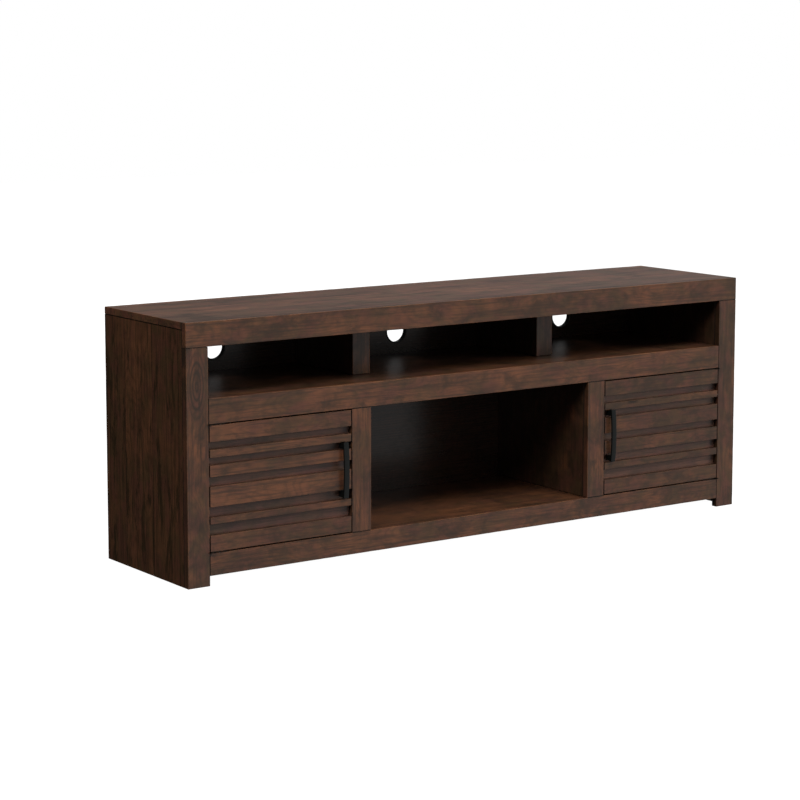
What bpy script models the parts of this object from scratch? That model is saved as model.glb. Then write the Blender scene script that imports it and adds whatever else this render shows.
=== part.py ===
"""Low media cabinet with three open upper bays, an open centre bay and two slatted inset doors.

Units are metres and +Z is up. The front faces -Y, and the origin is on the floor under the middle of
the cabinet's box, handles included. Each door turns on knife hinges about its outer front corner.
"""
import math

import bmesh
import bpy
from mathutils import Matrix, Vector

# Overall size
WIDTH = 1.83515
CARCASS_DEPTH = 0.422275
HEIGHT = 0.669925

# Boards
FRAME_T = 0.019
TOP_T = 0.019
SIDE_T = 0.019
LINER_T = 0.016
SHELF_T = 0.018
PARTITION_T = 0.018
BACK_T = 0.012
EASED_EDGE = 0.0012
FIT_GAP = 0.0003

# Face frame
STILE_W = 0.0635
TOP_RAIL_H = 0.0635
MIDDLE_RAIL_TOP = 0.4754
MIDDLE_RAIL_H = 0.0645
BOTTOM_RAIL_TOP = 0.0834
BOTTOM_RAIL_H = 0.0575
INNER_STILE_X = 0.3956
INNER_STILE_W = 0.060

# Upper dividers and cable holes
DIVIDER_X = 0.310
DIVIDER_W = 0.055
DIVIDER_SETBACK = 0.128
CABLE_HOLE_X = 0.5965
CABLE_HOLE_Z = 0.539
GROMMET_BORE_R = 0.0318
GROMMET_WALL = 0.0013
GROMMET_LIP_R = 0.0350
GROMMET_LIP_T = 0.0015

# Doors
DOOR_SIDE_GAP = 0.002
DOOR_END_GAP = 0.003
SLAT_T = 0.0127
SLATS = {  # distance of each slat's top edge below the door's top edge, and the slat's height
    "left": ((0.0, 0.0423), (0.0614, 0.0209), (0.1011, 0.0301),
             (0.1552, 0.0523), (0.2332, 0.0180), (0.2793, 0.0422)),
    "right": ((0.0, 0.0420), (0.0627, 0.0194), (0.1026, 0.0456),
              (0.1691, 0.0374), (0.2313, 0.0197), (0.2803, 0.0412)),
}

# Bow handles, whose post centres are HANDLE_SPAN apart
HANDLE_SPAN = 0.128
HANDLE_LENGTH = 0.147
HANDLE_W = 0.015
HANDLE_BAR_T = 0.0055
HANDLE_POST_T = 0.0145
HANDLE_REACH = 0.0149
HANDLE_BOW = 0.0047
HANDLE_EDGE_IN = 0.023
HANDLE_TOP_POST = 0.0915
BOW_STEPS = 12
SCREW_R = 0.0019
SCREW_HOLE_R = 0.0021
SCREW_DEPTH = 0.009
SCREW_HEAD_R = 0.0042
SCREW_HEAD_T = 0.0022

# Knife hinges: the pivot stands in front of the frame, over the middle of the gap at the door's edge
PIVOT_PROUD = 0.004
KNUCKLE_R = 0.00325
LEAF_T = 0.0010
LEAF_LENGTH = 0.050
LEAF_INNER = 0.0095
LEAF_OUTER = 0.0185
LEAF_NECK = 0.0085
LEAF_STILE_SIDE = 0.0005
PIN_R = 0.0015
PIN_PLAY = 0.00005
KNUCKLE_STEPS = 20

# Magnetic catches behind the doors' free edges
CATCH_TOP = 0.390
CATCH_H = 0.040
CATCH_T = 0.012
CATCH_BEHIND_STILE = 0.028
CATCH_BEHIND_DOOR = 0.016
CATCH_SETBACK = 0.002
STRIKE_T = 0.001
STRIKE_W = 0.012
STRIKE_FROM_EDGE = 0.003
STRIKE_SHORTER = 0.002

# Colours, as linear RGB
OUTER_STAIN = (0.105, 0.058, 0.040)
TOP_STAIN = (0.120, 0.073, 0.055)
DOOR_STAIN = (0.098, 0.056, 0.040)
INNER_STAIN = (0.090, 0.048, 0.032)
BLACK_METAL = (0.020, 0.020, 0.021)
BLACK_PLASTIC = (0.015, 0.015, 0.016)
BRIGHT_STEEL = (0.560, 0.560, 0.570)
MAGNET_BODY = (0.030, 0.030, 0.032)

# Planes that several pieces share
HALF_W = WIDTH / 2
FRONT = HANDLE_REACH - (CARCASS_DEPTH + HANDLE_REACH) / 2
BACK = FRONT + CARCASS_DEPTH
FRAME_BACK = FRONT + FRAME_T
PANEL_FRONT = FRAME_BACK + FIT_GAP
BACK_PANEL_FRONT = BACK - BACK_T
PANEL_BACK = BACK_PANEL_FRONT - FIT_GAP
UNDER_TOP = HEIGHT - TOP_T - FIT_GAP
OPENING_X = HALF_W - STILE_W
INNER_OPENING_X = INNER_STILE_X + INNER_STILE_W / 2
CENTRE_BAY_X = INNER_STILE_X - INNER_STILE_W / 2
MIDDLE_RAIL_BOTTOM = MIDDLE_RAIL_TOP - MIDDLE_RAIL_H
BOTTOM_RAIL_BOTTOM = BOTTOM_RAIL_TOP - BOTTOM_RAIL_H
DOOR_TOP = MIDDLE_RAIL_BOTTOM - DOOR_END_GAP
DOOR_BOTTOM = BOTTOM_RAIL_TOP + DOOR_END_GAP
DOOR_OUTER_X = OPENING_X - DOOR_SIDE_GAP
DOOR_INNER_X = INNER_OPENING_X + DOOR_SIDE_GAP
DOOR_BOARD_FRONT = FRONT + SLAT_T + FIT_GAP
PIVOT_X = OPENING_X - DOOR_SIDE_GAP / 2
PIVOT_Y = FRONT - PIVOT_PROUD
SIDES = (("left", -1), ("right", 1))

# Straight sides that stand for a circle
PIN_SIDES = 32
SCREW_SIDES = 24
GROMMET_SIDES = 48


# ---- Scene, collections and materials ----

for old_object in list(bpy.data.objects):
    bpy.data.objects.remove(old_object, do_unlink=True)

cabinet = bpy.data.collections.new("media_cabinet")
cutters = bpy.data.collections.new("cutters")
bpy.context.scene.collection.children.link(cabinet)
bpy.context.scene.collection.children.link(cutters)


def give_material(piece, colour, roughness, metallic):
    """Give a piece its own Principled material."""
    material = bpy.data.materials.new(piece.name)
    material.use_nodes = True
    shader = material.node_tree.nodes["Principled BSDF"]
    shader.inputs["Base Color"].default_value = (*colour, 1.0)
    shader.inputs["Roughness"].default_value = roughness
    shader.inputs["Metallic"].default_value = metallic
    piece.data.materials.append(material)


def wooden(piece, colour):
    give_material(piece, colour, roughness=0.45, metallic=0.0)


# ---- Shape tools ----

def add_object(name, mesh, centre, parent=None, collection=cabinet):
    """Place a mesh whose own origin is at its centre, under a pivot empty if it has one."""
    piece = bpy.data.objects.new(name, mesh)
    collection.objects.link(piece)
    piece.parent = parent
    piece.location = Vector(centre) - (parent.location if parent else Vector())
    return piece


def bevel_edges(piece, width):
    bevel = piece.modifiers.new("eased edges", "BEVEL")
    bevel.width = width
    bevel.segments = 1
    bevel.limit_method = "ANGLE"


def box(name, xs, ys, zs, parent=None, collection=cabinet):
    """A box between two limits on each axis."""
    centre = [(limits[0] + limits[1]) / 2 for limits in (xs, ys, zs)]
    size = [abs(limits[1] - limits[0]) for limits in (xs, ys, zs)]
    mesh = bpy.data.meshes.new(name)
    shape = bmesh.new()
    bmesh.ops.create_cube(shape, size=1.0)
    bmesh.ops.scale(shape, vec=size, verts=shape.verts)
    shape.to_mesh(mesh)
    shape.free()
    return add_object(name, mesh, centre, parent, collection)


def board(name, xs, ys, zs, colour, parent=None):
    """A planed board with eased edges."""
    piece = box(name, xs, ys, zs, parent)
    bevel_edges(piece, EASED_EDGE)
    wooden(piece, colour)
    return piece


def flat_plate(name, outline, thickness, centre, parent=None, turn=None):
    """A flat outline on X and Y, centred on its thickness, then turned by a matrix if it has one."""
    curve = bpy.data.curves.new(name, "CURVE")
    curve.dimensions = "2D"
    curve.fill_mode = "BOTH"
    curve.extrude = thickness / 2
    line = curve.splines.new("POLY")
    line.points.add(len(outline) - 1)
    for point, (x, y) in zip(line.points, outline):
        point.co = (x, y, 0.0, 1.0)
    line.use_cyclic_u = True
    flat = bpy.data.objects.new(name, curve)
    mesh = bpy.data.meshes.new_from_object(flat)
    bpy.data.objects.remove(flat)
    bpy.data.curves.remove(curve)
    mesh.name = name
    shape = bmesh.new()
    shape.from_mesh(mesh)
    bmesh.ops.remove_doubles(shape, verts=shape.verts, dist=0.00001)
    if turn:
        bmesh.ops.transform(shape, matrix=turn, verts=shape.verts)
    shape.to_mesh(mesh)
    shape.free()
    return add_object(name, mesh, centre, parent)


def cylinder(name, radius, length, centre, axis, sides, collection=cutters):
    """A closed cylinder about the Y or Z axis."""
    mesh = bpy.data.meshes.new(name)
    turn = Matrix.Rotation(math.pi / 2, 4, "X") if axis == "Y" else Matrix.Identity(4)
    shape = bmesh.new()
    bmesh.ops.create_cone(shape, cap_ends=True, segments=sides, radius1=radius, radius2=radius,
                          depth=length, matrix=turn)
    shape.to_mesh(mesh)
    shape.free()
    return add_object(name, mesh, centre, None, collection)


def turned(name, profile, centre, sides, parent=None):
    """Turn a closed or axis-to-axis profile of (radius, height) points about Y, height towards -Y."""
    mesh = bpy.data.meshes.new(name)
    shape = bmesh.new()
    verts = [shape.verts.new((radius, 0.0, height)) for radius, height in profile]
    for start, end in zip(verts, verts[1:]):
        shape.edges.new((start, end))
    if profile[0][0] > 0.0:
        shape.edges.new((verts[-1], verts[0]))
    shape.to_mesh(mesh)
    shape.free()
    piece = add_object(name, mesh, centre, parent)
    piece.rotation_euler = (math.pi / 2, 0.0, 0.0)
    screw = piece.modifiers.new("turn", "SCREW")
    screw.steps = screw.render_steps = sides
    screw.use_merge_vertices = True
    screw.merge_threshold = 0.00005
    return piece


def combine(piece, other, operation):
    """Cut a piece with, or join it to, another object that isn't a part of the cabinet."""
    other.hide_render = True
    other.display_type = "WIRE"
    boolean = piece.modifiers.new(other.name, "BOOLEAN")
    boolean.object = other
    boolean.operation = operation
    boolean.solver = "EXACT"


def span(side, near, far):
    """Limits on X for a piece between two distances from the middle, on the left or right side."""
    return (side * near, side * far)


# ---- Top, sides and back ----

wide = (-HALF_W, HALF_W)
board("top_rail", wide, (FRONT, FRAME_BACK), (HEIGHT - TOP_RAIL_H, HEIGHT), OUTER_STAIN)
board("top_board", wide, (PANEL_FRONT, BACK), (HEIGHT - TOP_T, HEIGHT), TOP_STAIN)

for side_name, side in SIDES:
    board(f"outer_stile_{side_name}", span(side, OPENING_X, HALF_W), (FRONT, FRAME_BACK),
          (0.0, HEIGHT - TOP_RAIL_H - FIT_GAP), OUTER_STAIN)
    board(f"side_panel_{side_name}", span(side, HALF_W - SIDE_T, HALF_W), (PANEL_FRONT, BACK),
          (0.0, UNDER_TOP), OUTER_STAIN)
    board(f"side_liner_{side_name}", span(side, OPENING_X, OPENING_X + LINER_T),
          (PANEL_FRONT, PANEL_BACK), (BOTTOM_RAIL_TOP + FIT_GAP, UNDER_TOP), INNER_STAIN)

between_sides = (SIDE_T + FIT_GAP - HALF_W, HALF_W - SIDE_T - FIT_GAP)
back_panel = box("back_panel", between_sides, (BACK_PANEL_FRONT, BACK),
                 (BOTTOM_RAIL_TOP - SHELF_T, UNDER_TOP))
wooden(back_panel, INNER_STAIN)

sleeve_r = GROMMET_BORE_R + GROMMET_WALL
grommet_front = BACK_PANEL_FRONT - FIT_GAP - GROMMET_LIP_T
for hole_name, hole_x in (("left", -CABLE_HOLE_X), ("centre", 0.0), ("right", CABLE_HOLE_X)):
    hole = cylinder(f"cable_hole_{hole_name}", sleeve_r + FIT_GAP, 4 * BACK_T,
                    (hole_x, BACK, CABLE_HOLE_Z), "Y", GROMMET_SIDES)
    combine(back_panel, hole, "DIFFERENCE")
    grommet = turned(f"cable_grommet_{hole_name}",
                     ((GROMMET_LIP_R, 0.0), (GROMMET_LIP_R, -GROMMET_LIP_T),
                      (sleeve_r, -GROMMET_LIP_T), (sleeve_r, grommet_front - BACK),
                      (GROMMET_BORE_R, grommet_front - BACK), (GROMMET_BORE_R, 0.0)),
                     (hole_x, grommet_front, CABLE_HOLE_Z), GROMMET_SIDES)
    give_material(grommet, BLACK_PLASTIC, roughness=0.4, metallic=0.0)


# ---- Rails, shelves, partitions and dividers ----

between_stiles = (FIT_GAP - OPENING_X, OPENING_X - FIT_GAP)
for level, rail_top, rail_bottom, shelf_width in (
        ("middle", MIDDLE_RAIL_TOP, MIDDLE_RAIL_BOTTOM, between_stiles),
        ("bottom", BOTTOM_RAIL_TOP, BOTTOM_RAIL_BOTTOM, between_sides)):
    board(f"{level}_rail", between_stiles, (FRONT, FRAME_BACK), (rail_bottom, rail_top), OUTER_STAIN)
    board(f"{level}_shelf", shelf_width, (PANEL_FRONT, PANEL_BACK), (rail_top - SHELF_T, rail_top),
          INNER_STAIN)

for side_name, side in SIDES:
    board(f"inner_stile_{side_name}", span(side, CENTRE_BAY_X, INNER_OPENING_X), (FRONT, FRAME_BACK),
          (BOTTOM_RAIL_TOP + FIT_GAP, MIDDLE_RAIL_BOTTOM - FIT_GAP), OUTER_STAIN)
    board(f"partition_{side_name}", span(side, CENTRE_BAY_X, CENTRE_BAY_X + PARTITION_T),
          (PANEL_FRONT, PANEL_BACK),
          (BOTTOM_RAIL_TOP + FIT_GAP, MIDDLE_RAIL_TOP - SHELF_T - FIT_GAP), INNER_STAIN)
    board(f"upper_divider_{side_name}",
          span(side, DIVIDER_X - DIVIDER_W / 2, DIVIDER_X + DIVIDER_W / 2),
          (FRONT + DIVIDER_SETBACK, PANEL_BACK), (MIDDLE_RAIL_TOP + FIT_GAP, UNDER_TOP), INNER_STAIN)


# ---- Doors: a thin board behind six slats, turning about the outer front corner ----

def door_panel(side_name, side, pivot):
    """The board at the back of a door, drilled for the handle's screws, and its slats."""
    width = span(side, DOOR_INNER_X, DOOR_OUTER_X)
    panel = box(f"door_board_{side_name}", width, (DOOR_BOARD_FRONT, FRAME_BACK),
                (DOOR_BOTTOM, DOOR_TOP), pivot)
    wooden(panel, DOOR_STAIN)
    for number, (drop, height) in enumerate(SLATS[side_name], start=1):
        top = DOOR_TOP - drop
        board(f"door_slat_{side_name}_{number}", width, (FRONT, FRONT + SLAT_T),
              (top - height, top), DOOR_STAIN, pivot)
    return panel


def bow_handle(side_name, pivot, handle_x, middle_z):
    """A flat bar bowed towards -Y with a square post near each end, from its outline seen from the side."""
    half = HANDLE_LENGTH / 2
    outer, inner = (HANDLE_SPAN + HANDLE_POST_T) / 2, (HANDLE_SPAN - HANDLE_POST_T) / 2
    foot = DOOR_BOARD_FRONT - FIT_GAP - FRONT

    def along_bow(start, end, depth, steps):
        """Points between two heights, at a depth behind the bar's face."""
        heights = [start + (end - start) * i / steps for i in range(steps + 1)]
        return [(HANDLE_BOW * (z / half) ** 2 - HANDLE_REACH + depth, z) for z in heights]

    outline = along_bow(half, -half, 0.0, BOW_STEPS)
    outline += along_bow(-half, -outer, HANDLE_BAR_T, 1)
    outline += [(foot, -outer), (foot, -inner)]
    outline += along_bow(-inner, inner, HANDLE_BAR_T, BOW_STEPS)
    outline += [(foot, inner), (foot, outer)]
    outline += along_bow(outer, half, HANDLE_BAR_T, 1)
    upright = Matrix(((0, 0, 1, 0), (1, 0, 0, 0), (0, 1, 0, 0), (0, 0, 0, 1)))
    handle = flat_plate(f"handle_{side_name}", outline, HANDLE_W, (handle_x, FRONT, middle_z), pivot, upright)
    give_material(handle, BLACK_METAL, roughness=0.35, metallic=0.6)
    return handle


def handle_screws(side_name, pivot, handle, panel, handle_x, middle_z):
    """A screw through the door board into each post, with the holes that they need."""
    for place, offset in (("upper", HANDLE_SPAN / 2), ("lower", -HANDLE_SPAN / 2)):
        centre = (handle_x, FRAME_BACK, middle_z + offset)
        hole = cylinder(f"screw_hole_{side_name}_{place}", SCREW_HOLE_R,
                        2 * (FRAME_BACK - DOOR_BOARD_FRONT + SCREW_DEPTH), centre, "Y", SCREW_SIDES)
        combine(panel, hole, "DIFFERENCE")
        combine(handle, hole, "DIFFERENCE")
        tip = FRAME_BACK - DOOR_BOARD_FRONT + SCREW_DEPTH - FIT_GAP
        screw = turned(f"handle_screw_{side_name}_{place}",
                       ((0.0, tip), (SCREW_R, tip), (SCREW_R, -FIT_GAP), (SCREW_HEAD_R, -FIT_GAP),
                        (SCREW_HEAD_R, -FIT_GAP - SCREW_HEAD_T), (0.0, -FIT_GAP - SCREW_HEAD_T)),
                       centre, SCREW_SIDES, pivot)
        give_material(screw, BRIGHT_STEEL, roughness=0.3, metallic=1.0)


def leaf_plate(name, side, middle_z, parent, drilled):
    """A knife hinge's flat leaf in plan: a round knuckle about the pivot, a neck and an arm."""
    start = math.acos(-LEAF_STILE_SIDE / KNUCKLE_R)
    angles = [start + (2 * math.pi - start) * i / KNUCKLE_STEPS for i in range(KNUCKLE_STEPS + 1)]
    outline = [(KNUCKLE_R * math.cos(a), KNUCKLE_R * math.sin(a)) for a in angles]
    outline += [(LEAF_NECK, LEAF_INNER), (LEAF_LENGTH, LEAF_INNER), (LEAF_LENGTH, LEAF_OUTER),
                (-LEAF_STILE_SIDE, LEAF_OUTER)]
    pivot_point = (side * PIVOT_X, PIVOT_Y, middle_z)
    leaf = flat_plate(name, [(-side * x, y) for x, y in outline], LEAF_T, pivot_point, parent)
    give_material(leaf, BLACK_METAL, roughness=0.4, metallic=0.8)
    if drilled:
        eye = cylinder(f"{name}_eye", PIN_R + PIN_PLAY, 3 * LEAF_T, pivot_point, "Z", PIN_SIDES)
        combine(leaf, eye, "DIFFERENCE")
    return leaf


def knife_hinge(side_name, side, place, frame_face, inward, pivot):
    """One hinge: a leaf with the pin on the rail, and a drilled leaf on the door's edge.

    frame_face is the height of the rail's face, and inward points from it to the door.
    """
    door_edge = frame_face + inward * DOOR_END_GAP
    frame_z = frame_face + inward * (FIT_GAP + LEAF_T / 2)
    door_z = door_edge - inward * (FIT_GAP + LEAF_T / 2)
    frame_leaf = leaf_plate(f"frame_hinge_{side_name}_{place}", side, frame_z, None, False)
    leaf_plate(f"door_hinge_{side_name}_{place}", side, door_z, pivot, True)
    pin_end = door_z + inward * LEAF_T
    pin = cylinder(f"hinge_pin_{side_name}_{place}", PIN_R, abs(pin_end - frame_z),
                   (side * PIVOT_X, PIVOT_Y, (pin_end + frame_z) / 2), "Z", PIN_SIDES)
    combine(frame_leaf, pin, "UNION")


def magnetic_catch(side_name, side, pivot):
    """A magnet block behind the inner stile that reaches behind the door, and the door's plate."""
    ear_front = STRIKE_T + FIT_GAP
    root = -CATCH_BEHIND_STILE
    tip = DOOR_INNER_X + CATCH_BEHIND_DOOR - INNER_OPENING_X
    plan = ((root, 0.0), (-CATCH_SETBACK, 0.0), (-CATCH_SETBACK, ear_front), (tip, ear_front),
            (tip, CATCH_T), (root, CATCH_T))
    catch = flat_plate(f"catch_{side_name}", [(side * x, y) for x, y in plan], CATCH_H,
                       (side * INNER_OPENING_X, PANEL_FRONT, CATCH_TOP - CATCH_H / 2))
    give_material(catch, MAGNET_BODY, roughness=0.5, metallic=0.0)
    edge = DOOR_INNER_X + STRIKE_FROM_EDGE
    strike = box(f"strike_plate_{side_name}", span(side, edge, edge + STRIKE_W),
                 (PANEL_FRONT, PANEL_FRONT + STRIKE_T),
                 (CATCH_TOP - CATCH_H + STRIKE_SHORTER, CATCH_TOP - STRIKE_SHORTER), pivot)
    give_material(strike, BRIGHT_STEEL, roughness=0.3, metallic=1.0)


for side_name, side in SIDES:
    pivot = bpy.data.objects.new(f"door_pivot_{side_name}", None)
    cabinet.objects.link(pivot)
    pivot.location = (side * PIVOT_X, PIVOT_Y, 0.0)
    handle_x = side * (DOOR_INNER_X + HANDLE_EDGE_IN)
    middle_z = DOOR_TOP - HANDLE_TOP_POST - HANDLE_SPAN / 2
    panel = door_panel(side_name, side, pivot)
    handle = bow_handle(side_name, pivot, handle_x, middle_z)
    handle_screws(side_name, pivot, handle, panel, handle_x, middle_z)
    knife_hinge(side_name, side, "top", MIDDLE_RAIL_BOTTOM, -1, pivot)
    knife_hinge(side_name, side, "bottom", BOTTOM_RAIL_TOP, 1, pivot)
    magnetic_catch(side_name, side, pivot)
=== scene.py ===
"""A low media cabinet in dark stained wood, built up in the order that a joiner would put it together.

Metres, +Z up. The front faces -Y and the floor is at zero.
"""

import math
import random

import bmesh
import bpy
from mathutils import Matrix, Vector, noise


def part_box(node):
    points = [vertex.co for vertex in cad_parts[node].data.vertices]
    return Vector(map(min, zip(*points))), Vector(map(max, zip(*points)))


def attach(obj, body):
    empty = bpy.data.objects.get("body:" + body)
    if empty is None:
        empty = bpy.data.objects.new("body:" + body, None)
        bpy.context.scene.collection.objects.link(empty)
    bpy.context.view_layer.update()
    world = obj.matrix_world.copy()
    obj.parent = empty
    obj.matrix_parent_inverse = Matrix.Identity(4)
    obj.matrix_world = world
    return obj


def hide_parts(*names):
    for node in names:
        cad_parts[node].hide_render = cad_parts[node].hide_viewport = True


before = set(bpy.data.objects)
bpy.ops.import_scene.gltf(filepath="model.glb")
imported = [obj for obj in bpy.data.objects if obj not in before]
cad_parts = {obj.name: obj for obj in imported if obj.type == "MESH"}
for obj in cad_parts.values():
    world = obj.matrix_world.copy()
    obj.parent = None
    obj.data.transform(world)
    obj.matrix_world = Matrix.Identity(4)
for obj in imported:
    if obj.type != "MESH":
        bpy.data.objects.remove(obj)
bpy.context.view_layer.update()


# ---- Side panels ----
# Each side is a panel glued up from upright boards and stained dark brown. It stands on the floor behind
# the stile, and its edges are eased by hand, so the rounding wanders a little along its length.

class Shade:
    """One output of a shader tree. Arithmetic on it adds the Math nodes that the expression needs."""

    tree = None

    def __init__(self, socket):
        self.socket = socket

    @classmethod
    def node(cls, kind, settings, inputs, output=0):
        """Add a node: its settings first, then the numbers or links of its sockets."""
        made = cls.tree.nodes.new(kind)
        for name, value in settings.items():
            setattr(made, name, value)
        for name, value in inputs.items():
            if isinstance(value, cls):
                cls.tree.links.new(value.socket, made.inputs[name])
            else:
                made.inputs[name].default_value = value
        return cls(made.outputs[output])

    @classmethod
    def maths(cls, operation, *terms):
        return cls.node("ShaderNodeMath", {"operation": operation}, dict(enumerate(terms)))

    def __add__(self, other):
        return self.maths("ADD", self, other)

    def __radd__(self, other):
        return self.maths("ADD", other, self)

    def __sub__(self, other):
        return self.maths("SUBTRACT", self, other)

    def __rsub__(self, other):
        return self.maths("SUBTRACT", other, self)

    def __mul__(self, other):
        return self.maths("MULTIPLY", self, other)

    def __rmul__(self, other):
        return self.maths("MULTIPLY", other, self)

    def __truediv__(self, other):
        return self.maths("DIVIDE", self, other)

    def __rtruediv__(self, other):
        return self.maths("DIVIDE", other, self)

    def __pow__(self, other):
        return self.maths("POWER", self, other)

    def __rpow__(self, other):
        return self.maths("POWER", other, self)

    def between(self, low, high):
        """0 at low and under, 1 at high and over, and smooth between them."""
        settings = {"interpolation_type": "SMOOTHSTEP"}
        return self.node("ShaderNodeMapRange", settings, {"Value": self, "From Min": low, "From Max": high})

    def tinted(self, low_colour, high_colour):
        """A colour that runs from one to the other as this value goes from 0 to 1."""
        inputs = {0: self, 6: as_colour(low_colour), 7: as_colour(high_colour)}
        return self.node("ShaderNodeMix", {"data_type": "RGBA"}, inputs, 2)


def as_colour(colour):
    return colour if isinstance(colour, Shade) else (*colour, 1.0)


def stretched(vector, along, across, through):
    """A vector with each of its three axes multiplied."""
    inputs = {0: vector, 1: (along, across, through)}
    return Shade.node("ShaderNodeVectorMath", {"operation": "MULTIPLY"}, inputs)


def moved(vector, along, across, through):
    """A vector with a number or a shade added on each axis."""
    offset = Shade.node("ShaderNodeCombineXYZ", {}, {0: along, 1: across, 2: through})
    return Shade.node("ShaderNodeVectorMath", {"operation": "ADD"}, {0: vector, 1: offset})


def cloudy(vector, detail=2.0, roughness=0.5, distortion=0.0):
    """Soft noise about 0.5, with one cloud to each unit of the vector."""
    inputs = {"Vector": vector, "Scale": 1.0, "Detail": detail, "Roughness": roughness,
              "Distortion": distortion}
    return Shade.node("ShaderNodeTexNoise", {}, inputs, "Fac")


def new_material(name):
    """An empty Principled material, with its tree set as the one in hand."""
    material = bpy.data.materials.new(name)
    material.use_nodes = True
    Shade.tree = material.node_tree
    return material, material.node_tree.nodes["Principled BSDF"]


def plug_in(shader, **sockets):
    """Fill a shader's sockets by name, with spaces as underscores."""
    for name, value in sockets.items():
        socket = shader.inputs[name.replace("_", " ")]
        if isinstance(value, Shade):
            Shade.tree.links.new(value.socket, socket)
        else:
            socket.default_value = value


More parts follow.
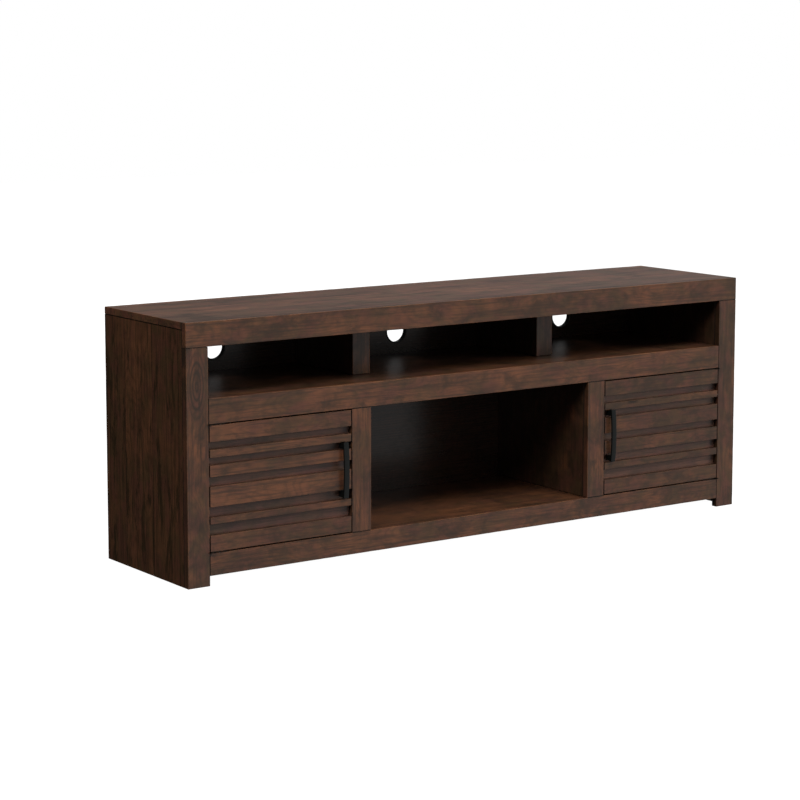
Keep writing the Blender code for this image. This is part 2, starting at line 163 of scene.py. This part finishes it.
def stained_wood(name, deep, body, warm, plank_width=0.0, smudge_size=(14.0, 20.0), smudges=(0.46, 0.70),
                 roughness=0.27, relief=0.25, heart=None):
    """Brown stained wood, from each board's grain layer: metres along, across and through it.

    The colours are those of the dark smudges, of most of the wood, and of its redder patches. A plank
    width makes a panel glued up from planks of about that width, each with its own tone and figure.
    smudge_size is how many smudges there are to a metre along the grain and across it, and smudges the
    noise levels where one begins and is full. A heart is a point, X and Z, that the growth rings close
    round in long ovals. The face layer rubs the stain off above 0, and below 0 it darkens the wood
    towards black: painted shade.
    """
    material, shader = new_material(name)
    grain = Shade.node("ShaderNodeAttribute", {"attribute_name": "grain"}, {}, "Vector")
    tone = Shade.node("ShaderNodeAttribute", {"attribute_name": "tone"}, {}, "Fac")
    wear_and_painted_shade = Shade.node("ShaderNodeAttribute", {"attribute_name": "wear_and_painted_shade"}, {}, "Fac")
    worn = Shade.maths("MAXIMUM", wear_and_painted_shade, 0.0)
    # Below 0 the face layer is painted shade
    painted_shade = Shade.maths("MAXIMUM", 0.0 - wear_and_painted_shade, 0.0)
    glue_line = None
    if plank_width:
        across = Shade.node("ShaderNodeSeparateXYZ", {}, {0: grain}, 1)
        uneven = cloudy(stretched(grain, 0.0, 3.0, 0.0), 0.0) * 0.9
        place = across / plank_width + uneven
        plank = Shade.maths("FLOOR", place)
        chance = Shade.node("ShaderNodeTexWhiteNoise", {"noise_dimensions": "1D"}, {"W": plank}, "Value")
        grain = moved(grain, chance * 7.0, 0.0, chance * 0.4)
        tone = tone + (chance - 0.5) * 0.9
        glue_line = 1.0 - Shade.maths("PINGPONG", place, 0.5).between(0.0, 0.018)

    # Growth rings: distance from a pith that lies below the face and wanders nearer and farther. ring_rate
    # is in radians to a metre, so a ring is about 6 mm wide
    pith_depth, ring_rate = 0.060, 1000.0
    sway = cloudy(stretched(grain, 3.4, 10.0, 10.0), 2.0, 0.45) - 0.5
    along, across, through = [Shade.node("ShaderNodeSeparateXYZ", {}, {0: grain}, i) for i in range(3)]
    side = across + sway * 0.035
    drop = through + pith_depth + sway * 0.110
    radius = Shade.maths("SQRT", side * side + drop * drop)
    late_wood = (Shade.maths("SINE", radius * ring_rate) * 0.5 + 0.5) ** 2.5
    if heart:
        place = Shade.node("ShaderNodeTexCoord", {}, {}, "Object")
        x, _, z = [Shade.node("ShaderNodeSeparateXYZ", {}, {0: place}, i) for i in range(3)]
        half_width, half_height = 0.011, 0.036
        aside, above = (x - heart[0]) / half_width, (z - heart[1]) / half_height
        oval = Shade.maths("SQRT", aside * aside + above * above) + sway * 1.6
        rings = (Shade.maths("SINE", oval * 9.0) * 0.5 + 0.5) ** 2.0
        late_wood = late_wood + (rings * 3.2 - late_wood) * (1.0 - oval.between(1.4, 3.0))

    # The figure, finest first, then the stain: redder patches, curl across the grain, smudges and knots
    fibres = cloudy(stretched(grain, 14.0, 380.0, 380.0), 3.0, 0.7)
    streaks = cloudy(stretched(grain, 5.0, 140.0, 140.0), 4.0, 0.75)
    pores = cloudy(stretched(grain, 45.0, 1500.0, 1500.0), 1.0, 0.5).between(0.60, 0.74)
    patches = cloudy(stretched(grain, 10.0, 15.0, 15.0), 5.0, 0.68, 0.2)
    curl = cloudy(moved(stretched(grain, 34.0, 9.0, 9.0), 5.0, 17.0, 2.0), 3.0, 0.6)
    per_run, per_width = smudge_size
    blotches = cloudy(moved(stretched(grain, per_run, per_width, per_width), 31.0, 7.0, 3.0), 5.0, 0.7, 0.4)
    knot_grid = stretched(grain, 2.3, 7.0, 7.0)
    spots = Shade.node("ShaderNodeTexVoronoi", {}, {"Vector": knot_grid, "Scale": 1.0}, "Distance")
    knot = 1.0 - spots.between(0.02, 0.07)

    drift = cloudy(moved(stretched(grain, 2.4, 4.0, 4.0), 3.0, 11.0, 5.0), 1.0)
    tone = tone + (drift - 0.5) * 1.1
    warmth = (patches + (tone - 0.5) * 0.24).between(0.36, 0.70)
    smudge = (blotches - (tone - 0.5) * 0.10).between(*smudges) * 0.75
    lean = cloudy(moved(stretched(grain, 16.0, 24.0, 24.0), 13.0, 5.0, 9.0), 3.0, 0.6).between(0.40, 0.60)
    olive = (body[0] * 0.86, body[1] * 1.02, body[2] * 0.90)
    pink = (body[0] * 1.12, body[1], body[2] * 1.14)
    colour = warmth.tinted(lean.tinted(olive, pink), warm)
    colour = smudge.tinted(colour, deep)
    colour = (streaks.between(0.46, 0.62) * 0.62).tinted(colour, deep)
    colour = (late_wood * 0.30 + pores * 0.30).tinted(colour, deep)
    colour = (knot * 0.85).tinted(colour, tuple(c * 0.35 for c in deep))
    if glue_line:
        colour = (glue_line * 0.8).tinted(colour, tuple(c * 0.4 for c in deep))
    rubbed = cloudy(stretched(grain, 22.0, 60.0, 60.0), 3.0, 0.6).between(0.38, 0.62)
    bare_edge = (0.125, 0.050, 0.020)
    colour = (worn * rubbed * 0.8).tinted(colour, bare_edge)
    # Painted shade: where the face layer is below 0 the wood goes nearly black, along joints and on faces
    # turned from the front
    colour = (painted_shade * 0.9).tinted(colour, tuple(c * 0.2 for c in deep))
    shade = 0.42 + fibres * 0.62 + tone * 0.16 + curl * 0.44
    grey = Shade.node("ShaderNodeCombineColor", {}, {0: shade, 1: shade, 2: shade})
    colour = Shade.node("ShaderNodeMix", {"data_type": "RGBA", "blend_type": "MULTIPLY"},
                        {0: 1.0, 6: colour, 7: grey}, 2)
    surface = fibres * 0.5 - pores * 0.7 - late_wood * 0.15
    bump = Shade.node("ShaderNodeBump", {}, {"Strength": relief, "Distance": 0.0003, "Height": surface})
    plug_in(shader, Base_Color=colour, Roughness=roughness + fibres * 0.08 + smudge * 0.05 + worn * 0.18,
            Normal=bump, Specular_IOR_Level=0.5)
    return material


def finish_mesh(name, shape, materials, flat_above=0.0):
    """Turn a bmesh into a piece at the origin. Faces smaller than flat_above square metres are smooth."""
    for face in shape.faces:
        face.smooth = face.calc_area() < flat_above if flat_above else True
    mesh = bpy.data.meshes.new(name)
    shape.to_mesh(mesh)
    shape.free()
    for material in materials:
        mesh.materials.append(material)
    piece = bpy.data.objects.new(name, mesh)
    bpy.context.scene.collection.objects.link(piece)
    return piece


def lay_grain(shape, node, low, high, along, board_tone=None):
    """Give a board its grain layer, in metres along, across and through it, and its own tone."""
    draw = random.Random(node)
    offset = Vector((draw.uniform(0.0, 30.0), draw.uniform(-0.025, 0.025), draw.uniform(-0.02, 0.02)))
    if board_tone is None:
        board_tone = draw.uniform(0.25, 0.75)
    size, centre = high - low, (low + high) / 2
    through = min((axis for axis in range(3) if axis != along), key=lambda axis: size[axis])
    across = 3 - along - through
    grain = shape.verts.layers.float_vector.new("grain")
    tone = shape.verts.layers.float.new("tone")
    for vert in shape.verts:
        local = vert.co - centre
        vert[grain] = Vector((local[along], local[across], local[through])) + offset
        vert[tone] = board_tone


def meets_another(point, node):
    """Whether a point lies within a joint's width of any part other than its own."""
    for name, (low, high) in part_boxes.items():
        near = all(low[i] - JOINT_REACH < point[i] < high[i] + JOINT_REACH for i in range(3))
        if near and name != node:
            return True
    return False


def ease_edges(shape, node, width, segments, wear_and_painted_shade, rubbing):
    """Round over a board's sharp edges, and give back their corners.

    Their face layer gets -1 along a joint, painted shade where two parts meet, and rubbing elsewhere.
    """
    corners = [edge for edge in shape.edges if edge.calc_face_angle(0.0) > 1.0]
    eased = bmesh.ops.bevel(shape, geom=corners, offset=width, offset_type="OFFSET", segments=segments,
                            profile=0.5, affect="EDGES", material=-1)
    for face in eased["faces"]:
        face.normal_update()
        outside = face.calc_center_median() + face.normal * 0.001
        # An eased face at a joint gets painted shade
        face[wear_and_painted_shade] = -1.0 if meets_another(outside, node) else rubbing
    return {vert for face in eased["faces"] for vert in face.verts}


def plane_board(node, along, material, body="carcass", ease=0.0013, tone=None, painted_side_shade=0.0):
    """Make a board to its node's size, with hand-eased edges. along is the axis that its grain runs on.

    tone runs from 0, grey and dark, to 1, red and light. The last argument is how much painted shade
    darkens the faces that don't look forward.
    """
    low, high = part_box(node)
    size = high - low
    shape = bmesh.new()
    wear_and_painted_shade = shape.faces.layers.float.new("wear_and_painted_shade")
    bmesh.ops.create_cube(shape, size=1.0)
    bmesh.ops.scale(shape, vec=size, verts=shape.verts)
    bmesh.ops.translate(shape, vec=(low + high) / 2, verts=shape.verts)
    grain_way = Vector((0.0, 0.0, 0.0))
    grain_way[along] = 1.0
    lengths = max(2, round(size[along] / LENGTH_STEP))
    for cut in range(1, lengths):
        place = low + grain_way * size[along] * cut / lengths
        everything = shape.verts[:] + shape.edges[:] + shape.faces[:]
        bmesh.ops.bisect_plane(shape, geom=everything, plane_co=place, plane_no=grain_way)
    rounded = ease_edges(shape, node, ease, 3, wear_and_painted_shade, 1.0)
    shape.normal_update()
    for face in shape.faces:
        # Faces that don't look forward get painted shade
        if painted_side_shade and face.normal.y > -0.9:
            face[wear_and_painted_shade] = -painted_side_shade
    for vert in rounded:
        worn = noise.noise(vert.co * LONG_RUB) + 0.5 * noise.noise(vert.co * SHORT_RUB)
        vert.co -= vert.normal * max(0.0, worn) * WANDER
    lay_grain(shape, node, low, high, along, tone)
    piece = finish_mesh(f"{node}_wood", shape, [material], flat_above=ease * LENGTH_STEP)
    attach(piece, body)
    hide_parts(node)


X_AXIS, Z_AXIS = 0, 2
# JOINT_REACH is how close two parts lie at a joint. A board is cut every LENGTH_STEP, so that its edges can
# wander by WANDER at most, in long and short rubs, so many to a metre
JOINT_REACH = 0.0032
LENGTH_STEP = 0.018
WANDER = 0.00045
LONG_RUB, SHORT_RUB = 34.0, 130.0
part_boxes = {name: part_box(name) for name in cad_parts}
DEEP_BROWN = (0.022, 0.0130, 0.0080)
MAIN_BROWN = (0.066, 0.0282, 0.0154)
WARM_BROWN = (0.112, 0.0430, 0.0200)

side_wood = stained_wood("side_panel_wood", (0.0125, 0.0080, 0.0025), (0.064, 0.0270, 0.0135),
                         (0.094, 0.0370, 0.0165), plank_width=0.120, smudge_size=(6.0, 30.0),
                         smudges=(0.55, 0.64))
for side in ("left", "right"):
    plane_board(f"side_panel_{side}", Z_AXIS, side_wood)


# ---- Face frame ----
# Stiles and rails of one thickness, butted and flush on the front. The outer stiles run down to the floor
# under a full-width top rail, and the inner stiles stand between the middle and bottom rails.

frame_wood = stained_wood("frame_wood", DEEP_BROWN, MAIN_BROWN, WARM_BROWN)
stile_wood = stained_wood("left_stile_wood", DEEP_BROWN, MAIN_BROWN, WARM_BROWN, heart=(-0.887, 0.507))
for rail, tone in (("top_rail", 0.36), ("middle_rail", 0.55), ("bottom_rail", 0.42)):
    plane_board(rail, X_AXIS, frame_wood, tone=tone)
STILES = (("left", stile_wood, 0.33, 0.50), ("right", frame_wood, 0.10, 0.28))
for side, wood, outer_tone, inner_tone in STILES:
    # The outer stiles' faces that don't look forward get painted shade
    plane_board(f"outer_stile_{side}", Z_AXIS, wood, tone=outer_tone, painted_side_shade=0.35)
    plane_board(f"inner_stile_{side}", Z_AXIS, frame_wood, tone=inner_tone)


# ---- Top board ----
# A wide board glued up from planks along its length, in a lighter stain than the sides, partly its own
# colour and partly painted light on the top. It lies on the side panels, behind the top rail and flush
# with it.

# Lighter than the sides: partly the board's own colour, partly painted light on the top
top_wood_and_painted_light = stained_wood("top_board_wood", DEEP_BROWN, (0.108, 0.0440, 0.0235), (0.150, 0.0580, 0.0290),
                        plank_width=0.115, smudge_size=(6.0, 26.0))
plane_board("top_board", X_AXIS, top_wood_and_painted_light)


# ---- Shelves, partitions, liners and upper dividers ----
# The inside boards, in a darker stain than the frame: painted shade for the dim inside. The partitions,
# liners and dividers are the darkest and the bottom shelf the lightest, painted shade and painted light.
# The shelves are flush with the tops of their rails, and the liners and partitions with the edges of the
# stiles in front of them.

inner_wood = stained_wood("inner_wood", (0.016, 0.0095, 0.0060), (0.052, 0.0240, 0.0135),
                          (0.098, 0.0380, 0.0170))
# The middle shelf is darker with painted shade, the bottom shelf lighter with painted light
for shelf, tone in (("middle_shelf", 0.35), ("bottom_shelf", 0.85)):
    plane_board(shelf, X_AXIS, inner_wood, tone=tone)
# Partitions, liners and dividers at the darkest tone: painted shade
for side in ("left", "right"):
    for board in ("side_liner", "partition", "upper_divider"):
        plane_board(f"{board}_{side}", Z_AXIS, inner_wood, tone=0.0)


# ---- Back panel and cable grommets ----
# The back is one panel with its grain running across, bored for a black plastic grommet behind each upper
# bay. A grommet is a sleeve with a thin rounded lip on the inside of the cabinet.

ROUND_STEPS = 72


def bore_back_panel(node, grommets):
    """A sheet with round holes: outline and holes filled as one face, thickened, and its edges eased."""
    hole_radius, ease, flat_above = 0.0334, 0.0005, 0.0000012
    low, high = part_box(node)
    shape = bmesh.new()
    wear_and_painted_shade = shape.faces.layers.float.new("wear_and_painted_shade")
    outline = [shape.verts.new((x, low.y, z)) for x, z in
               ((low.x, low.z), (high.x, low.z), (high.x, high.z), (low.x, high.z))]
    edges = [shape.edges.new((outline[i - 1], outline[i])) for i in range(4)]
    for grommet in grommets:
        ring_low, ring_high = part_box(grommet)
        centre = (ring_low + ring_high) / 2
        place = Matrix.Translation((centre.x, low.y, centre.z)) @ Matrix.Rotation(math.pi / 2, 4, "X")
        hole = bmesh.ops.create_circle(shape, segments=ROUND_STEPS, radius=hole_radius, matrix=place)
        edges += list({edge for vert in hole["verts"] for edge in vert.link_edges})
    bmesh.ops.triangle_fill(shape, use_beauty=True, use_dissolve=False, edges=edges)
    grown = bmesh.ops.extrude_face_region(shape, geom=shape.faces[:])
    rear = [item for item in grown["geom"] if isinstance(item, bmesh.types.BMVert)]
    bmesh.ops.translate(shape, vec=(0.0, high.y - low.y, 0.0), verts=rear)
    bmesh.ops.recalc_face_normals(shape, faces=shape.faces[:])
    ease_edges(shape, node, ease, 2, wear_and_painted_shade, 0.0)
    lay_grain(shape, node, low, high, X_AXIS)
    return finish_mesh(f"{node}_wood", shape, [back_wood], flat_above=flat_above)


back_wood = stained_wood("back_panel_wood", (0.020, 0.0120, 0.0080), (0.050, 0.0235, 0.0140),
                         (0.070, 0.0300, 0.0160), roughness=0.15, relief=0.12)
grommet_nodes = [f"cable_grommet_{place}" for place in ("left", "centre", "right")]
back = bore_back_panel("back_panel", grommet_nodes)
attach(back, "carcass")
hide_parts("back_panel")


def moulded_plastic(name, colour, roughness):
    """Dull black plastic with the fine spark texture of its mould."""
    material, shader = new_material(name)
    place = Shade.node("ShaderNodeTexCoord", {}, {}, "Object")
    spark = cloudy(stretched(place, 1600.0, 1600.0, 1600.0), 2.0)
    drift = cloudy(stretched(place, 60.0, 60.0, 60.0), 1.0)
    bump = Shade.node("ShaderNodeBump", {}, {"Strength": 0.12, "Distance": 0.0001, "Height": spark})
    tint = drift.tinted(tuple(c * 0.8 for c in colour), tuple(c * 1.25 for c in colour))
    plug_in(shader, Base_Color=tint, Roughness=roughness + drift * 0.12, Normal=bump)
    return material


def turn_grommet(node, material):
    """A sleeve and lip turned about the hole's axis from one closed profile."""
    low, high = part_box(node)
    centre = (low + high) / 2
    lip_radius = (high.x - low.x) / 2
    sleeve, bore, lip = 0.0331, 0.0318, 0.0015
    front, rear = low.y, high.y
    profile = [(bore, rear), (bore, front + 0.0006), (bore + 0.0004, front + 0.0001),
               (bore + 0.0010, front), (lip_radius - 0.0008, front), (lip_radius - 0.0001, front + 0.0005),
               (lip_radius, front + lip), (sleeve, front + lip), (sleeve, rear)]
    shape = bmesh.new()
    verts = [shape.verts.new((centre.x + radius, depth, centre.z)) for radius, depth in profile]
    edges = [shape.edges.new((verts[i - 1], verts[i])) for i in range(len(verts))]
    bmesh.ops.spin(shape, geom=verts + edges, cent=centre, axis=(0.0, 1.0, 0.0), angle=2 * math.pi,
                   steps=ROUND_STEPS, use_merge=True)
    bmesh.ops.remove_doubles(shape, verts=shape.verts[:], dist=0.00001)
    bmesh.ops.recalc_face_normals(shape, faces=shape.faces[:])
    grommet = finish_mesh(f"{node}_ring", shape, [material])
    grommet.data.set_sharp_from_angle(angle=math.radians(50))
    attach(grommet, "carcass")
    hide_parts(node)


black_plastic = moulded_plastic("grommet_plastic", (0.012, 0.012, 0.013), 0.38)
for node in grommet_nodes:
    turn_grommet(node, black_plastic)


# ---- Doors ----
# Two inset doors, each six slats of uneven width on a thin backing board. The slats have sharper edges
# than the frame, their grain runs across the door, and their faces that don't look forward are darkened
# with painted shade. The backing board is lighter and greyer than the slats: painted light and painted
# reflection in the grooves between them. The right door's slats are greyer than the left one's.

slat_wood = stained_wood("door_slat_wood", DEEP_BROWN, MAIN_BROWN, WARM_BROWN)
# Lighter and greyer than the slats: painted light and painted reflection in the grooves
backing_wood_painted_light = stained_wood("door_backing_painted_light", (0.038, 0.0220, 0.0160), (0.078, 0.0380, 0.0260),
                            (0.100, 0.0450, 0.0290))
SLAT_TONES = {"left": (0.45, 0.55, 0.60, 0.72, 0.50, 0.55), "right": (0.05, 0.15, 0.00, 0.15, 0.10, 0.20)}
for side in ("left", "right"):
    plane_board(f"door_board_{side}", X_AXIS, backing_wood_painted_light, f"{side}_door", ease=0.0005)
    for number, tone in enumerate(SLAT_TONES[side], start=1):
        # Each slat's faces that don't look forward get painted shade
        plane_board(f"door_slat_{side}_{number}", X_AXIS, slat_wood, f"{side}_door",
                    ease=0.0010, tone=tone, painted_side_shade=0.75)


# ---- Bow handles ----
# A flat cast bar, bowed away from the door, with a square post near each end that stands in a groove
# between two slats. It is powder coated satin black.

def coated_metal(name, colour, roughness, sheen):
    """Satin powder coat over metal: a faint orange peel, and slow changes of gloss where hands rub it."""
    material, shader = new_material(name)
    place = Shade.node("ShaderNodeTexCoord", {}, {}, "Object")
    peel = cloudy(stretched(place, 900.0, 900.0, 900.0), 2.0)
    rubbed = cloudy(stretched(place, 45.0, 45.0, 45.0), 2.0)
    bump = Shade.node("ShaderNodeBump", {}, {"Strength": 0.10, "Distance": 0.0001, "Height": peel})
    tint = rubbed.tinted(tuple(c * 0.75 for c in colour), tuple(c * 1.35 for c in colour))
    plug_in(shader, Base_Color=tint, Roughness=roughness + (rubbed - 0.5) * 0.16, Normal=bump,
            Specular_IOR_Level=sheen)
    return material


handle_black = coated_metal("handle_black", (0.0028, 0.0034, 0.0031), 0.40, 0.32)
# BOW is how far the bar's middle stands out past its ends. The posts stand POST_CENTRE above and below it
BOW = 0.0047
BAR_THICKNESS = 0.0055
BAR_STEPS = 28
BAR_EASE = 0.0009
POST_HALF = 0.00725
POST_CENTRE = 0.064


def cast_handle(side):
    """Spin the bar's section through its bow, then draw the two posts out of its back."""
    node = f"handle_{side}"
    low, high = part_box(node)
    centre = (low + high) / 2
    half = (high.z - low.z) / 2
    bend = (half ** 2 + BOW ** 2) / (2 * BOW)
    sweep = 2 * math.asin(half / bend)
    shape = bmesh.new()
    corners = [(low.x, low.y), (high.x, low.y), (high.x, low.y + BAR_THICKNESS),
               (low.x, low.y + BAR_THICKNESS)]
    section = shape.faces.new([shape.verts.new((x, y, centre.z)) for x, y in corners])
    pivot = Vector((centre.x, low.y + bend, centre.z))
    bmesh.ops.rotate(shape, verts=section.verts[:], cent=pivot, matrix=Matrix.Rotation(sweep / 2, 3, "X"))
    bmesh.ops.spin(shape, geom=[section], cent=pivot, axis=(1.0, 0.0, 0.0), angle=-sweep,
                   steps=BAR_STEPS, use_merge=False)
    for post in (-POST_CENTRE, POST_CENTRE):
        for edge in (-POST_HALF, POST_HALF):
            everything = shape.verts[:] + shape.edges[:] + shape.faces[:]
            bmesh.ops.bisect_plane(shape, geom=everything, dist=0.00001,
                                   plane_co=(0.0, 0.0, centre.z + post + edge), plane_no=(0.0, 0.0, 1.0))
    bmesh.ops.recalc_face_normals(shape, faces=shape.faces[:])
    for post in (-POST_CENTRE, POST_CENTRE):
        seat = [face for face in shape.faces if face.normal.y > 0.9
                and abs(face.calc_center_median().z - centre.z - post) < POST_HALF]
        grown = bmesh.ops.extrude_face_region(shape, geom=seat)
        bmesh.ops.delete(shape, geom=seat, context="FACES")
        for item in grown["geom"]:
            if isinstance(item, bmesh.types.BMVert):
                item.co.y = high.y
    bmesh.ops.recalc_face_normals(shape, faces=shape.faces[:])
    sharp = [edge for edge in shape.edges if edge.calc_face_angle(0.0) > 0.7]
    bmesh.ops.bevel(shape, geom=sharp, offset=BAR_EASE, offset_type="OFFSET", segments=3, profile=0.5,
                    affect="EDGES", material=-1, clamp_overlap=True)
    handle = finish_mesh(f"{node}_bar", shape, [handle_black])
    handle.data.set_sharp_from_angle(angle=math.radians(40))
    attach(handle, f"{side}_door")
    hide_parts(node)


for side in ("left", "right"):
    cast_handle(side)


# ---- Hinges, screws, catches and strike plates ----
# Dark bronzed hinge leaves lie in the gaps above and below each door. The zinc-plated screws and strike
# plates and the catch's black casing show only when a door is open.

def plated_steel(name, colour, roughness):
    """Zinc-plated or bronzed steel, with a fine brushed streak and cloudy plating."""
    material, shader = new_material(name)
    place = Shade.node("ShaderNodeTexCoord", {}, {}, "Object")
    brushed = cloudy(stretched(place, 120.0, 120.0, 2600.0), 2.0)
    plating = cloudy(stretched(place, 150.0, 150.0, 150.0), 3.0)
    tint = plating.tinted(tuple(c * 0.78 for c in colour), colour)
    bump = Shade.node("ShaderNodeBump", {}, {"Strength": 0.08, "Distance": 0.0001, "Height": brushed})
    plug_in(shader, Base_Color=tint, Roughness=roughness + brushed * 0.14, Metallic=1.0, Normal=bump)
    return material


bronze = plated_steel("hinge_bronze", (0.085, 0.070, 0.058), 0.34)
zinc = plated_steel("zinc_plate", (0.62, 0.62, 0.61), 0.26)
catch_plastic = moulded_plastic("catch_plastic", (0.022, 0.022, 0.024), 0.5)
for node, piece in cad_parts.items():
    if "hinge" in node:
        finish = bronze
    elif "screw" in node or "strike" in node:
        finish = zinc
    elif "catch" in node:
        finish = catch_plastic
    else:
        continue
    piece.data.materials.clear()
    piece.data.materials.append(finish)


# ---- Studio ----
# A pale floor in a white room, and four soft square lamps: the key high in front, one low at the right
# end, a fill high at the left, and one behind. The camera stands off the left end, looking slightly down.

def lay_floor():
    material, shader = new_material("floor_white")
    plug_in(shader, Base_Color=(0.10, 0.10, 0.10, 1.0), Roughness=0.9, Specular_IOR_Level=0.0,
            Emission_Color=(1.0, 1.0, 1.0, 1.0), Emission_Strength=1.0)
    shape = bmesh.new()
    bmesh.ops.create_grid(shape, x_segments=1, y_segments=1, size=14.0)
    floor = finish_mesh("studio_floor", shape, [material])
    # The floor glows white to the camera, but neither lights the cabinet nor shows in its gloss
    floor.visible_glossy = False
    floor.visible_diffuse = False


def hang_white_room():
    """White behind the object as the camera sees it, and a room that is brighter at the front right."""
    world = bpy.data.worlds.new("white_room")
    world.use_nodes = True
    bpy.context.scene.world = world
    tree = Shade.tree = world.node_tree
    direction = Shade.node("ShaderNodeTexCoord", {}, {}, "Generated")
    front_right = (0.75, -0.66, 0.0)
    facing = Shade.node("ShaderNodeVectorMath", {"operation": "DOT_PRODUCT"},
                        {0: direction, 1: front_right}, "Value")
    diffuse = Shade.node("ShaderNodeLightPath", {}, {}, "Is Diffuse Ray")
    strength = (0.02 + facing.between(-0.8, 0.8) * 0.42) * (1.0 - diffuse * 0.55)
    room = Shade.node("ShaderNodeBackground", {}, {"Color": (1.0, 1.0, 1.0, 1.0), "Strength": strength})
    paper = Shade.node("ShaderNodeBackground", {}, {"Color": (1.0, 1.0, 1.0, 1.0), "Strength": 1.0})
    seen = Shade.node("ShaderNodeLightPath", {}, {}, "Is Camera Ray")
    both = Shade.node("ShaderNodeMixShader", {}, {0: seen, 1: room, 2: paper})
    tree.links.new(both.socket, tree.nodes["World Output"].inputs["Surface"])


def hang_light(name, place, aim, size, power):
    light = bpy.data.lights.new(name, "AREA")
    light.shape = "SQUARE"
    light.size = size
    light.energy = power
    lamp = bpy.data.objects.new(name, light)
    lamp.location = place
    lamp.rotation_euler = (Vector(aim) - Vector(place)).to_track_quat("-Z", "Y").to_euler()
    lamp.visible_glossy = False
    bpy.context.scene.collection.objects.link(lamp)


def set_camera(place, yaw, tilt, lens, shift):
    """A camera turned right of +Y by yaw and tilted down, both in degrees."""
    data = bpy.data.cameras.new("camera")
    data.sensor_width = 36.0
    data.lens = lens
    data.shift_y = shift
    data.clip_end = 100.0
    camera = bpy.data.objects.new("camera", data)
    camera.location = place
    camera.rotation_euler = (math.radians(90.0 - tilt), 0.0, math.radians(-yaw))
    bpy.context.scene.collection.objects.link(camera)
    bpy.context.scene.camera = camera


lay_floor()
hang_white_room()
hang_light("key", (1.7, -4.8, 8.4), (0.0, -0.2, 0.3), 3.5, 690.0)
hang_light("side", (7.0, -3.6, 1.8), (0.0, -0.2, 0.3), 3.0, 600.0)
hang_light("fill", (-5.2, -2.8, 4.7), (0.0, 0.0, 0.3), 2.5, 350.0)
hang_light("rear", (1.5, 6.8, 2.6), (0.0, 0.2, 0.3), 3.0, 300.0)
set_camera((-3.750, -5.1726, 1.392), 34.976, 7.148, 105.16, -0.1)
bpy.context.scene.view_settings.view_transform = "Standard"
